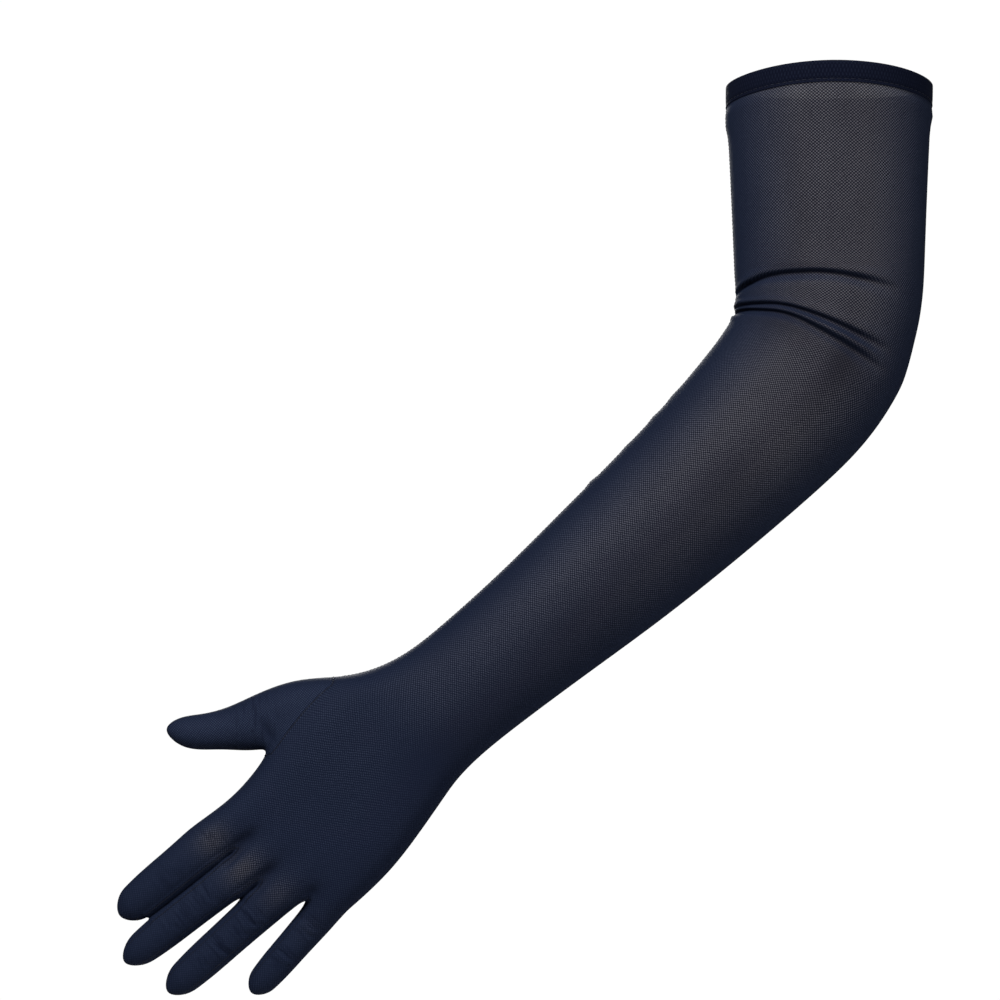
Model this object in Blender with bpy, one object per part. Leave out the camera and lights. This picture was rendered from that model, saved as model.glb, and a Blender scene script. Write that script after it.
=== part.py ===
"""Long stretch tulle glove for the left hand, in its worn form, bent at the elbow.

The sleeve hangs from its opening, bends at the elbow and runs on down to the left, with the back
of the hand to the front (-Y). The origin is the middle of the top opening and +Z is up.
"""

import math

import bpy
import numpy as np

# Lengths along the glove, in metres.
UPPER_ARM_LENGTH = 0.120
FOREARM_LENGTH = 0.231
PALM_LENGTH = 0.110
THUMB_LENGTH = 0.0605
INDEX_LENGTH = 0.0628
MIDDLE_LENGTH = 0.0735
RING_LENGTH = 0.0698
LITTLE_LENGTH = 0.0543

# Widths (seen from the front) and depths (front to back), in metres.
OPENING_WIDTH = 0.0927
ELBOW_WIDTH = 0.0820
WRIST_WIDTH = 0.0572
KNUCKLE_WIDTH = 0.0735
OPENING_DEPTH = 0.0860
ELBOW_DEPTH = 0.0780
WRIST_DEPTH = 0.0430
KNUCKLE_DEPTH = 0.0260
THUMB_WIDTH = 0.0194
THUMB_DEPTH = 0.0185

# Pose, in degrees.
ELBOW_BEND = 50.0
THUMB_SPREAD = 36.0
OPENING_TILT = 12.0

# Cloth.
CLOTH_THICKNESS = 0.0010
HEM_HEIGHT = 0.0095
HEM_THICKNESS = 0.0018
HEM_STANDS_OUT = 0.0004
JOIN_GAP = 0.0003
CLOTH_COLOUR = (0.012, 0.017, 0.040)
HEM_COLOUR = (0.007, 0.010, 0.024)

# A step of 0 to 1 runs down the upper arm, 1 to 2 down the forearm, 2 to 3 down the palm.
STEP_STATIONS = np.cumsum([0.0, UPPER_ARM_LENGTH, FOREARM_LENGTH, PALM_LENGTH])
STEP_WIDTHS = (OPENING_WIDTH, ELBOW_WIDTH, WRIST_WIDTH, KNUCKLE_WIDTH)
STEP_DEPTHS = (OPENING_DEPTH, ELBOW_DEPTH, WRIST_DEPTH, KNUCKLE_DEPTH)

# How far the centre line has turned from straight down, as a share of ELBOW_BEND.
TURNS = (
    # step, turn
    (0.00, 0.00),
    (0.73, 0.00),
    (1.00, 0.45),
    (1.14, 0.90),
    (1.33, 0.93),
    (1.54, 0.97),
    (1.65, 1.01),
    (2.00, 1.03),
    (2.25, 0.94),
    (3.00, 0.92),
)

# Sections: width and depth as shares of the sizes at that step, sideways shift towards the thumb
# as a share of the width, and how far the section has changed from an oval arm to a flat hand.
SECTIONS = (
    # step, wide, deep, shift, hand
    (0.00, 1.000, 1.00, 0.000, 0.0),
    (0.30, 0.994, 1.00, 0.000, 0.0),
    (0.71, 1.000, 1.00, -0.002, 0.0),
    (0.89, 0.990, 1.01, -0.002, 0.0),
    (1.00, 1.000, 1.02, -0.012, 0.0),
    (1.08, 1.010, 1.02, 0.002, 0.0),
    (1.14, 1.008, 1.02, 0.004, 0.0),
    (1.30, 0.985, 1.03, -0.010, 0.0),
    (1.59, 0.977, 1.00, -0.006, 0.0),
    (1.75, 0.943, 0.98, -0.015, 0.1),
    (1.88, 0.945, 0.98, -0.018, 0.2),
    (2.00, 0.980, 1.00, -0.020, 0.4),
    (2.16, 1.060, 0.98, 0.016, 0.7),
    (2.26, 1.200, 1.00, 0.062, 0.9),
    (2.46, 1.210, 1.04, 0.020, 1.0),
    (2.65, 1.145, 1.02, -0.032, 1.0),
    (2.84, 1.040, 1.00, -0.053, 1.0),
    (3.00, 1.000, 1.00, -0.033, 1.0),
)

# The opening's back edge drops by less than its front edge rises: this share of the tilt is a
# rise that both have in common.
OPENING_ARCH = 0.4

# Steps of the cage rings. The thumb leaves the palm between the two THUMB_STEPS.
RINGS = (
    0.375, 0.675, 0.742, 0.809, 0.876, 0.944, 1.005, 1.045, 1.09, 1.14,
    1.26, 1.42, 1.58, 1.74, 1.88, 2.00, 2.16, 2.26, 2.46, 2.65, 2.84, 3.00,
)
THUMB_STEPS = (2.26, 2.65)

# The nine columns over the back of the hand, from the thumb side to the little finger side:
# place across, thickness, thickness at the finger roots, and how far past step 3 the roots lie.
HAND_COLUMNS = (
    # across, thick, root, late
    (0.950, 0.66, 0.66, -0.02),
    (0.735, 0.96, 0.98, -0.01),
    (0.461, 1.00, 0.66, 0.00),
    (0.223, 1.00, 1.02, 0.01),
    (-0.015, 1.00, 0.66, 0.02),
    (-0.280, 1.00, 1.00, 0.00),
    (-0.548, 1.00, 0.64, -0.06),
    (-0.780, 0.94, 0.92, -0.10),
    (-0.955, 0.62, 0.60, -0.12),
)

# The fingers from the thumb side on. Widths are shares of KNUCKLE_WIDTH, spread is in degrees
# from the palm's course, and curl towards the palm is a share of the length.
FINGERS = (
    # length, wide, spread, curl
    (INDEX_LENGTH, 0.267, 4.5, 0.05),
    (MIDDLE_LENGTH, 0.242, 5.6, 0.03),
    (RING_LENGTH, 0.239, 1.9, 0.05),
    (LITTLE_LENGTH, 0.207, -5.0, 0.08),
)
FINGER_DEEP = 0.92

# How far the skin between two fingers reaches past the finger roots, as a share of KNUCKLE_WIDTH.
WEBS = (0.160, 0.168, 0.010)

# Finger rings: place along the finger, width, and how far round from the finger's side, in
# degrees, the strip between two fingers reaches to the front and to the back.
FINGER_RINGS = (
    # along, wide, strip
    (0.20, 1.00, 45.0),
    (0.47, 0.98, 45.0),
    (0.72, 0.92, 42.0),
    (0.93, 0.74, 32.0),
)
FINGER_TIP_SHARE = 1.08

# Thumb rings, as shares of THUMB_LENGTH, THUMB_WIDTH and THUMB_DEPTH. Facing is how far the ring
# is turned towards the sleeve from the thumb's own course, in degrees.
THUMB_RINGS = (
    # along, rise, wide, deep, palmward, facing
    (0.167, -0.012, 1.88, 1.35, 0.03, 36.0),
    (0.370, -0.040, 1.40, 1.20, 0.05, 23.0),
    (0.576, -0.070, 0.96, 1.00, 0.07, 15.0),
    (0.768, -0.072, 0.83, 0.86, 0.08, 11.0),
    (0.910, -0.045, 0.68, 0.70, 0.09, 11.0),
)
THUMB_TIP_SHARE = 1.08

# Creases at the bend, each through three places given as an angle round the sleeve (0 is the
# thumb side, 90 the front, 180 the elbow's point) and a step. Depths are shares of FOLD_DEPTH
# and widths of FOLD_WIDTH, and a minus depth is a rolled ridge.
FOLD_DEPTH = 0.0024
FOLD_WIDTH = 0.0042
FOLDS = (
    # angle, step, angle, step, angle, step, deep, wide
    (-25.0, 0.84, 60.0, 0.715, 130.0, 0.750, 1.0, 1.0),
    (-30.0, 0.93, 60.0, 0.858, 128.0, 0.915, 0.9, 0.9),
    (-15.0, 0.95, 65.0, 0.885, 125.0, 0.950, -0.6, 0.9),
    (-30.0, 0.97, 40.0, 0.905, 130.0, 0.990, 1.0, 1.0),
)

BODY, THUMB = 0, 1
PIECES = (
    "glove_body",
    "thumb",
    "fourchette_index_middle",
    "fourchette_middle_ring",
    "fourchette_ring_little",
)


def column(table, index):
    return np.array([row[index] for row in table], float)


def station(step):
    """Length down the centre line, in metres, at this step."""
    return np.interp(step, range(4), STEP_STATIONS)


def swell(count):
    """How much wider a cage ring of this many points is than the surface it rounds off to."""
    return 1.0 / (0.75 + 0.25 * math.cos(2 * math.pi / count))


def course(heading):
    """Direction down the glove at this heading, and the sideways direction to the thumb side."""
    sine, cosine = np.sin(np.radians(heading)), np.cos(np.radians(heading))
    zero = np.zeros_like(sine)
    return np.stack([-sine, zero, -cosine], -1), np.stack([-cosine, zero, sine], -1)


def heading_at(step):
    return ELBOW_BEND * np.interp(step, column(TURNS, 0), column(TURNS, 1))


def centre_at(step):
    """Centre line, summed up from the headings."""
    fine = np.linspace(0.0, 3.2, 1601)
    ways, _ = course(heading_at(fine))
    past_palm = np.maximum(fine - 3.0, 0.0) * PALM_LENGTH
    lengths = np.diff(station(fine) + past_palm)
    line = np.cumsum((ways[1:] + ways[:-1]) / 2 * lengths[:, None], axis=0)
    line = np.vstack([np.zeros(3), line])
    return np.stack([np.interp(step, fine, line[:, axis]) for axis in range(3)], -1)


def section_at(step, name):
    """One column of SECTIONS at this step, in metres for all but the share called hand."""
    index = ("wide", "deep", "shift", "hand").index(name) + 1
    share = np.interp(step, column(SECTIONS, 0), column(SECTIONS, index))
    if name == "hand":
        return share
    sizes = STEP_DEPTHS if name == "deep" else STEP_WIDTHS
    return share * np.interp(step, range(4), sizes)


def sleeve_ring(step):
    """Twenty cage points round the sleeve or palm. At the last ring each column has its own step."""
    angle = np.radians(18.0 * np.arange(20))
    hand = np.array(HAND_COLUMNS)
    at_roots = step >= 3.0
    thick = hand[:, 2] if at_roots else hand[:, 1]
    late = np.concatenate([[hand[0, 3]], hand[:, 3], [hand[-1, 3]], hand[::-1, 3]])
    steps = step + late * at_roots
    flat_across = np.concatenate([[1.0], hand[:, 0], [-1.0], hand[::-1, 0]])
    flat_front = np.concatenate([[0.0], thick, [0.0], -thick[::-1]])
    hand_share = section_at(steps, "hand")
    swollen = swell(20)
    across = (1 - hand_share) * np.cos(angle) * swollen + hand_share * flat_across
    front = (1 - hand_share) * np.sin(angle) * swollen + hand_share * flat_front
    _, side = course(heading_at(steps))
    sideways = across * section_at(steps, "wide") / 2 + section_at(steps, "shift")
    points = centre_at(steps) + side * sideways[:, None]
    points[:, 1] -= front * section_at(steps, "deep") / 2
    fade = np.clip(1 - steps / 0.6, 0, 1)
    back = points[:, 1]
    lean = OPENING_ARCH * back ** 2 / (OPENING_DEPTH / 2) - (1 - OPENING_ARCH) * back
    points[:, 2] += lean * math.tan(math.radians(OPENING_TILT)) * fade
    return points, station(steps), angle


def finger_start(number):
    """Middle of the finger's root."""
    hand = np.array(HAND_COLUMNS)
    middle = hand[2 * number + 1]
    step = 3.0 + middle[3]
    _, side = course(heading_at(step))
    sideways = middle[0] * section_at(step, "wide") / 2 + section_at(step, "shift")
    return centre_at(step) + side * sideways


def finger_ring(centre, side, half_wide, half_deep, strip):
    """Eight cage points round a finger: the thumb side first, then over the front."""
    angles = np.array([0, strip, 90, 180 - strip, 180, 180 + strip, 270, 360 - strip])
    angles = np.radians(angles)
    points = centre + side * (np.cos(angles) * half_wide * swell(8))[:, None]
    points[:, 1] -= np.sin(angles) * half_deep * swell(8)
    return points


class Cage:
    """Points with their place on the sleeve, and four-sided faces with the piece they belong to."""

    def __init__(self):
        self.points, self.faces, self.pieces = [], [], []

    def add(self, points, along, angle):
        first = len(self.points)
        angle = np.broadcast_to(angle, len(points))
        along = np.broadcast_to(along, len(points))
        for point, far, turn in zip(points, along, angle):
            self.points.append([*point, far, math.cos(turn), math.sin(turn)])
        return list(range(first, first + len(points)))

    def face(self, corners, piece):
        self.faces.append(corners)
        self.pieces.append(piece)

    def tube(self, near, far, piece_of):
        count = len(near)
        for here in range(count):
            beside = (here + 1) % count
            corners = [near[here], far[here], far[beside], near[beside]]
            if piece_of(here) is not None:
                self.face(corners, piece_of(here))

    def cap(self, ring, tip, piece):
        for corner in (1, 3, 5, 7):
            beside = ring[(corner + 1) % 8]
            self.face([beside, ring[corner], ring[corner - 1], tip], piece)


def glove_cage():
    cage = Cage()
    rings = {}
    first_step = HEM_HEIGHT / UPPER_ARM_LENGTH
    previous = None
    for step in (first_step, *RINGS):
        ring = cage.add(*sleeve_ring(step))
        if previous is not None:
            in_thumb = THUMB_STEPS[0] < step <= THUMB_STEPS[1]
            cage.tube(previous, ring, lambda here: None if in_thumb and here in (0, 19) else BODY)
        rings[step] = previous = ring
    add_fingers(cage, previous)
    rows = [rings[step] for step in RINGS if THUMB_STEPS[0] <= step <= THUMB_STEPS[1]]
    add_thumb(cage, rows)
    used, faces = np.unique(cage.faces, return_inverse=True)
    return np.array(cage.points)[used], faces.reshape(-1, 4), np.array(cage.pieces)


def add_fingers(cage, knuckles):
    """Four fingers on the last palm ring, with a web point between each two."""
    front, back = knuckles[1:10], knuckles[19:10:-1]
    webs = [knuckles[0]]
    down, _ = course(heading_at(3.0))
    for crotch, reach in zip((2, 4, 6), WEBS):
        two = np.array([cage.points[front[crotch]], cage.points[back[crotch]]])
        web = two[:, :3].mean(axis=0) + down * reach * KNUCKLE_WIDTH
        webs += cage.add([web], two[:, 3].mean() + reach * KNUCKLE_WIDTH, 0.0)
    webs.append(knuckles[10])
    far = station(3.0)
    for number, (length, wide, spread, curl) in enumerate(FINGERS):
        own = slice(2 * number, 2 * number + 3)
        ring = [webs[number], *front[own], webs[number + 1], *back[own][::-1]]
        way, side = course(heading_at(3.0) + spread)
        start = finger_start(number)

        def piece_of(here, number=number):
            if here in (7, 0) and number > 0:
                return THUMB + number
            if here in (3, 4) and number < 3:
                return THUMB + number + 1
            return BODY

        for along, share, strip in FINGER_RINGS:
            centre = start + way * along * length
            centre[1] += curl * length * along ** 2
            half_wide = share * wide * KNUCKLE_WIDTH / 2
            points = finger_ring(centre, side, half_wide, half_wide * FINGER_DEEP, strip)
            following = cage.add(points, far + along * length, 0.0)
            cage.tube(ring, following, piece_of)
            ring = following
        centre = start + way * FINGER_TIP_SHARE * length
        centre[1] += curl * length
        tip = cage.add([centre], far + length, 0.0)[0]
        cage.cap(ring, tip, BODY)


def add_thumb(cage, rows):
    """The thumb on the opening left between three palm rings."""
    first, middle, last = rows
    ring = [first[0], first[1], middle[1], last[1], last[0], last[19], middle[19], first[19]]
    step = sum(THUMB_STEPS) / 2
    _, side = course(heading_at(step))
    start = centre_at(step) + side * (section_at(step, "wide") / 2 + section_at(step, "shift"))
    thumb_heading = heading_at(step) + THUMB_SPREAD
    way, rise_way = course(thumb_heading)
    for along, rise, wide, deep, palmward, facing in THUMB_RINGS:
        centre = start + (way * along + rise_way * rise) * THUMB_LENGTH
        centre[1] += palmward * THUMB_LENGTH
        _, ring_side = course(thumb_heading + facing)
        halves = wide * THUMB_WIDTH / 2, deep * THUMB_DEPTH / 2
        points = finger_ring(centre, ring_side, *halves, 45.0)
        following = cage.add(points, station(step) + along * THUMB_LENGTH, 0.0)
        cage.tube(ring, following, lambda here: THUMB)
        ring = following
    centre = start + way * THUMB_TIP_SHARE * THUMB_LENGTH
    centre[1] += THUMB_RINGS[-1][4] * THUMB_LENGTH
    tip = cage.add([centre], station(step) + THUMB_LENGTH, 0.0)[0]
    cage.cap(ring, tip, THUMB)


def subdivide(points, faces, pieces):
    """One level of smooth subdivision: each face becomes four, and open edges keep their line."""
    face_points = points[faces].mean(axis=1)
    sides = np.stack([faces, np.roll(faces, -1, axis=1)], axis=2).reshape(-1, 2)
    edges, edge_of = np.unique(np.sort(sides, axis=1), axis=0, return_inverse=True)
    edge_of = edge_of.reshape(-1)
    open_edge = np.bincount(edge_of, minlength=len(edges)) == 1
    middles = points[edges].mean(axis=1)
    beside = np.zeros_like(middles)
    np.add.at(beside, edge_of, np.repeat(face_points, 4, axis=0))
    edge_points = np.where(open_edge[:, None], middles, middles / 2 + beside / 4)

    count = len(points)
    valence = np.bincount(edges.reshape(-1), minlength=count).astype(float)[:, None]
    from_faces, from_edges = np.zeros_like(points), np.zeros_like(points)
    np.add.at(from_faces, faces.reshape(-1), np.repeat(face_points, 4, axis=0))
    np.add.at(from_edges, edges.reshape(-1), np.repeat(middles, 2, axis=0))
    inner = (from_faces / valence + 2 * from_edges / valence + (valence - 3) * points) / valence
    open_ends = edges[open_edge].reshape(-1)
    open_middles = np.zeros_like(points)
    np.add.at(open_middles, open_ends, np.repeat(middles[open_edge], 2, axis=0))
    on_border = np.bincount(open_ends, minlength=count)[:, None] > 0
    vertex_points = np.where(on_border, points / 2 + open_middles / 4, inner)

    edge_ids = (count + edge_of).reshape(-1, 4)
    face_ids = count + len(edges) + np.arange(len(faces))
    finer = [
        np.stack([faces[:, k], edge_ids[:, k], face_ids, edge_ids[:, k - 1]], axis=1)
        for k in range(4)
    ]
    finer = np.stack(finer, axis=1).reshape(-1, 4)
    return np.vstack([vertex_points, edge_points, face_points]), finer, np.repeat(pieces, 4)


def normals_of(points, faces):
    """Outward direction at each point: the mean of the faces round it."""
    one, two, three, four = (points[faces[:, k], :3] for k in range(4))
    of_faces = np.cross(three - one, four - two)
    total = np.zeros((len(points), 3))
    np.add.at(total, faces.reshape(-1), np.repeat(of_faces, 4, axis=0))
    return total / np.linalg.norm(total, axis=1)[:, None]


def fold_heights(points):
    """How far each point of the sleeve is pushed in by the creases at the bend."""
    far, angle = points[:, 3], np.degrees(np.arctan2(points[:, 5], points[:, 4]))
    height = np.zeros(len(points))
    for row in FOLDS:
        angles, steps, (deep, wide) = row[0:6:2], row[1:6:2], row[6:]
        line = station(np.interp(angle, angles, steps))
        ends = np.clip((angle - angles[0]) / 25, 0, 1) * np.clip((angles[2] - angle) / 25, 0, 1)
        off = (far - line) / (wide * FOLD_WIDTH)
        height -= deep * FOLD_DEPTH * np.exp(-off ** 2) * ends
    on_sleeve = far < station(1.3)
    return height * on_sleeve


def piece_mesh(points, normals, faces):
    """One piece as a wall of cloth, with its edges pulled back for the gap to its neighbours."""
    sides = np.stack([faces, np.roll(faces, -1, axis=1)], axis=2).reshape(-1, 2)
    _, edge_of, uses = np.unique(
        np.sort(sides, axis=1), axis=0, return_inverse=True, return_counts=True
    )
    border = uses[edge_of.reshape(-1)] == 1
    border_sides = sides[border]
    of_face = np.repeat(np.arange(len(faces)), 4)[border]
    across = points[faces[of_face, 2], :3] - points[faces[of_face, 0], :3]
    other = points[faces[of_face, 3], :3] - points[faces[of_face, 1], :3]
    upright = np.cross(across, other)
    run = points[border_sides[:, 1], :3] - points[border_sides[:, 0], :3]
    inward = np.cross(upright, run)
    inward /= np.linalg.norm(inward, axis=1)[:, None]
    pull = np.zeros((len(points), 3))
    np.add.at(pull, border_sides.reshape(-1), np.repeat(inward, 2, axis=0))
    size = np.linalg.norm(pull, axis=1)
    moved = size > 0
    # The sum of two unit pulls over its own square moves both edges back by the same amount.
    # The last factor, 1 on a straight edge, moves a sharp corner back a little more.
    pull[moved] *= (2 * JOIN_GAP / size[moved] ** 3)[:, None]
    far_up = points[:, 3] <= HEM_HEIGHT + 1e-6
    pull[far_up] = 0
    used, compact = np.unique(faces, return_inverse=True)
    compact = compact.reshape(-1, 4)
    outer = points[used, :3] + pull[used]
    inner = outer - normals[used] * CLOTH_THICKNESS
    count = len(used)
    place = np.searchsorted(used, border_sides)
    walls = np.stack([place[:, 1], place[:, 0], place[:, 0] + count, place[:, 1] + count], axis=1)
    return np.vstack([outer, inner]), np.vstack([compact, compact[:, ::-1] + count, walls])


def hem_mesh(points, normals):
    """The folded band round the opening, standing on the sleeve's top edge."""
    top = np.flatnonzero(points[:, 3] <= HEM_HEIGHT + 1e-6)
    turn = np.arctan2(points[top, 5], points[top, 4])
    top = top[np.argsort(turn)]
    tilt = math.radians(OPENING_TILT * (1 - OPENING_ARCH))
    up = np.array([0.0, -math.sin(tilt), math.cos(tilt)])
    out = normals[top] - np.outer(normals[top] @ up, up)
    out /= np.linalg.norm(out, axis=1)[:, None]
    outside, inside = HEM_STANDS_OUT, HEM_STANDS_OUT - HEM_THICKNESS
    fold = HEM_THICKNESS / 2
    profile = (
        (outside, JOIN_GAP),
        (outside, HEM_HEIGHT - fold),
        (outside - 0.3 * HEM_THICKNESS, HEM_HEIGHT),
        (inside + 0.3 * HEM_THICKNESS, HEM_HEIGHT),
        (inside, HEM_HEIGHT - fold),
        (inside, JOIN_GAP),
    )
    rings = [points[top, :3] + out * away + up * high for away, high in profile]
    count, levels = len(top), len(profile)
    faces = [
        (
            level * count + here,
            level * count + (here + 1) % count,
            (level + 1) % levels * count + (here + 1) % count,
            (level + 1) % levels * count + here,
        )
        for level in range(levels)
        for here in range(count)
    ]
    return np.vstack(rings), np.array(faces)


def add_object(name, points, faces, colour):
    mesh = bpy.data.meshes.new(name)
    mesh.from_pydata([tuple(p) for p in points], [], [tuple(map(int, f)) for f in faces])
    mesh.update()
    mesh.polygons.foreach_set("use_smooth", [True] * len(mesh.polygons))
    material = bpy.data.materials.new(name + "_cloth")
    material.use_nodes = True
    shader = material.node_tree.nodes["Principled BSDF"]
    shader.inputs["Base Color"].default_value = (*colour, 1.0)
    shader.inputs["Roughness"].default_value = 0.85
    mesh.materials.append(material)
    bpy.context.scene.collection.objects.link(bpy.data.objects.new(name, mesh))


def build():
    for old in list(bpy.data.objects):
        bpy.data.objects.remove(old, do_unlink=True)
    points, faces, pieces = subdivide(*glove_cage())
    points[:, :3] += normals_of(points, faces) * fold_heights(points)[:, None]
    normals = normals_of(points, faces)
    for number, name in enumerate(PIECES):
        mesh = piece_mesh(points, normals, faces[pieces == number])
        add_object(name, *mesh, CLOTH_COLOUR)
    add_object("top_hem", *hem_mesh(points, normals), HEM_COLOUR)


build()
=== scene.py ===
# %% [markdown]
# # A long tulle glove, shaped as it is worn
#
# The glove is a full-length dress glove in sheer navy stretch mesh. It reaches from the fingertips
# to the upper arm, is bent at the elbow, and ends in a folded hem. Six sewn pieces make it: the
# sleeve with the hand, a set-in thumb, three strips between the fingers, and the hem.
#
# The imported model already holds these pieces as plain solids. Here each one is replaced by real
# cloth: a thin wall with tucks and wrinkles, seams with thread, and a mesh that lets light through.

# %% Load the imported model
import math

import bpy
import numpy as np
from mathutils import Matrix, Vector


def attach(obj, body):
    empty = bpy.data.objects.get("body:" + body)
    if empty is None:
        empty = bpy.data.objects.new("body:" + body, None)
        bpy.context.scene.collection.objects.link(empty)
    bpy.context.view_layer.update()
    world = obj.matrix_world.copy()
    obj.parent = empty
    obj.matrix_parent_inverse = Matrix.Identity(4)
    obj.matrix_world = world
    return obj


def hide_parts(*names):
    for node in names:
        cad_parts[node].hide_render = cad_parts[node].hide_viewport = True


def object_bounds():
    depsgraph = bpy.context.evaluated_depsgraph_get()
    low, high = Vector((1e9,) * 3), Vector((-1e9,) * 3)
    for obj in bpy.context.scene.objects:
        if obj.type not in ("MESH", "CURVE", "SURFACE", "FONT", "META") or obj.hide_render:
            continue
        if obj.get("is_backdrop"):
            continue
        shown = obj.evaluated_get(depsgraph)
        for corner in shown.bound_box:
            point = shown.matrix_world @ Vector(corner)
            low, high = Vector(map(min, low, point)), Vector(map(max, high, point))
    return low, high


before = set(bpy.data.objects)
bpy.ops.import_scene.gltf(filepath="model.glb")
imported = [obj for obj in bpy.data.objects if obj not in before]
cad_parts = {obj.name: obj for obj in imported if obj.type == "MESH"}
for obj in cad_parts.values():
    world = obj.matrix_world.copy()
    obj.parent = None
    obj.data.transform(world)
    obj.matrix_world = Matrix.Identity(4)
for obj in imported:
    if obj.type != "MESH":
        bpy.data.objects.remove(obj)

CAD_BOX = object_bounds()
print("nodes:", ", ".join(sorted(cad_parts)))

# %% [markdown]
# ## Sizes
#
# The glove is measured like a sleeve on a table: lengths down the middle line, widths seen from
# the front, and depths from front to back. The solids come from the same sizes on a coarser
# cage, so the cloth lands where they are. Lengths are in metres and angles in degrees.

# %% Sizes of the glove
UPPER_ARM_LENGTH, FOREARM_LENGTH, PALM_LENGTH = 0.120, 0.231, 0.110
THUMB_LENGTH, THUMB_WIDTH, THUMB_DEPTH = 0.0605, 0.0194, 0.0185
WIDTHS = (0.0927, 0.0820, 0.0572, 0.0735)  # opening, elbow, wrist, knuckles
DEPTHS = (0.0860, 0.0780, 0.0430, 0.0260)
KNUCKLE_WIDTH = WIDTHS[3]
ELBOW_BEND, THUMB_SPREAD, OPENING_TILT, OPENING_ARCH = 50.0, 36.0, 12.0, 0.4
HEM_HEIGHT, HEM_THICKNESS, HEM_STANDS_OUT = 0.0095, 0.0018, 0.0004
CLOTH = 0.0004  # the mesh is about 0.4 mm thick
STATIONS = np.cumsum([0.0, UPPER_ARM_LENGTH, FOREARM_LENGTH, PALM_LENGTH])

# A step of 0 to 1 runs down the upper arm, 1 to 2 down the forearm, 2 to 3 down the palm.
TURNS = np.array((
    # step, turn as a share of ELBOW_BEND
    (0, 0), (0.73, 0), (1, 0.45), (1.14, 0.9), (1.33, 0.93), (1.54, 0.97),
    (1.65, 1.01), (2, 1.03), (2.25, 0.94), (3, 0.92),
))
SECTIONS = np.array((
    # step, wide, deep, shift to the thumb side, share of a flat hand in the section
    (0, 1, 1, 0, 0), (0.3, 0.994, 1, 0, 0),
    (0.71, 1, 1, -0.002, 0), (0.89, 0.99, 1.01, -0.002, 0),
    (1, 1, 1.02, -0.012, 0), (1.08, 1.01, 1.02, 0.002, 0),
    (1.14, 1.008, 1.02, 0.004, 0), (1.3, 0.985, 1.03, -0.01, 0),
    (1.59, 0.977, 1, -0.006, 0), (1.75, 0.943, 0.98, -0.015, 0.1),
    (1.88, 0.945, 0.98, -0.018, 0.2), (2, 0.98, 1, -0.02, 0.4),
    (2.16, 1.06, 0.98, 0.016, 0.7), (2.26, 1.2, 1, 0.062, 0.9),
    (2.46, 1.21, 1.04, 0.02, 1), (2.65, 1.145, 1.02, -0.032, 1),
    (2.84, 1.04, 1, -0.053, 1), (3, 1, 1, -0.033, 1),
))
# Steps that have a ring of the cage. They lie close together where the elbow is tucked.
RINGS = (
    0.375, 0.640, 0.690, 0.725, 0.760, 0.809, 0.843, 0.876, 0.910, 0.944, 0.975, 1.005, 1.045,
    1.09, 1.14, 1.26, 1.42, 1.58, 1.74, 1.88, 2.00, 2.16, 2.26, 2.46, 2.65, 2.84, 3.00,
)
THUMB_STEPS = (2.26, 2.65)
HAND_COLUMNS = np.array((
    # across, thick, thick at the finger roots, how far past step 3 the roots lie
    (0.95, 0.66, 0.66, -0.02), (0.735, 0.96, 0.98, -0.01), (0.461, 1, 0.66, 0),
    (0.223, 1, 1.02, 0.01), (-0.015, 1, 0.66, 0.02), (-0.28, 1, 1, 0),
    (-0.548, 1, 0.64, -0.06), (-0.78, 0.94, 0.92, -0.1), (-0.955, 0.62, 0.6, -0.12),
))
FINGERS = (
    # length, width as a share of KNUCKLE_WIDTH, spread, curl
    (0.0628, 0.267, 4.5, 0.05), (0.0735, 0.242, 5.6, 0.03),
    (0.0698, 0.239, 1.9, 0.05), (0.0543, 0.207, -5.0, 0.08),
)
FINGER_DEEP, FINGER_TIP_SHARE, THUMB_TIP_SHARE = 0.92, 1.08, 1.08
WEBS = (0.160, 0.168, 0.010)  # how far the cloth between two fingers reaches past their roots
FINGER_RINGS = (
    # along, wide, strip
    (0.20, 1.05, 45.0), (0.335, 1.01, 45.0), (0.47, 0.98, 45.0), (0.595, 0.96, 43.5),
    (0.72, 0.93, 42.0), (0.83, 0.86, 37.0), (0.93, 0.74, 32.0),
)
THUMB_RINGS = (
    # along, rise, wide, deep, palmward, facing
    (0.167, -0.012, 1.88, 1.35, 0.03, 36.0), (0.370, -0.040, 1.40, 1.20, 0.05, 23.0),
    (0.576, -0.070, 0.96, 1.00, 0.07, 15.0), (0.768, -0.072, 0.83, 0.86, 0.08, 11.0),
    (0.910, -0.045, 0.68, 0.70, 0.09, 11.0),
)
print(f"middle line from hem to knuckles: {STATIONS[-1] * 1000:.0f} mm")

# %% [markdown]
# ## The cage
#
# A worn glove is one smooth skin that branches into fingers. It could be sculpted, or pushed into
# shape from a tube, but a coarse cage of four-sided faces is easier to steer: twenty points round
# the sleeve, eight round each finger. Subdivision then rounds it off, and every ring of the cage
# stays tied to a named size.

# %% The middle line and its sections
SLEEVE, THUMB_ZONE = 0, 5  # zones 1 to 4 are the fingers


def station(step):
    """Length down the middle line at this step."""
    return np.interp(step, range(4), STATIONS)


def swell(count):
    """How much wider a cage ring of this many points is than the surface that it rounds off to."""
    return 1.0 / (0.75 + 0.25 * math.cos(2 * math.pi / count))


def course(heading):
    """Direction down the glove at this heading, and the sideways direction to the thumb side."""
    sine, cosine = np.sin(np.radians(heading)), np.cos(np.radians(heading))
    zero = np.zeros_like(sine)
    return np.stack([-sine, zero, -cosine], -1), np.stack([-cosine, zero, sine], -1)


def read_off(at, known, values):
    """Every column of the values, read off between the known places."""
    return np.stack([np.interp(at, known, column) for column in values.T], -1)


def heading_at(step):
    return ELBOW_BEND * np.interp(step, TURNS[:, 0], TURNS[:, 1])


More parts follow.
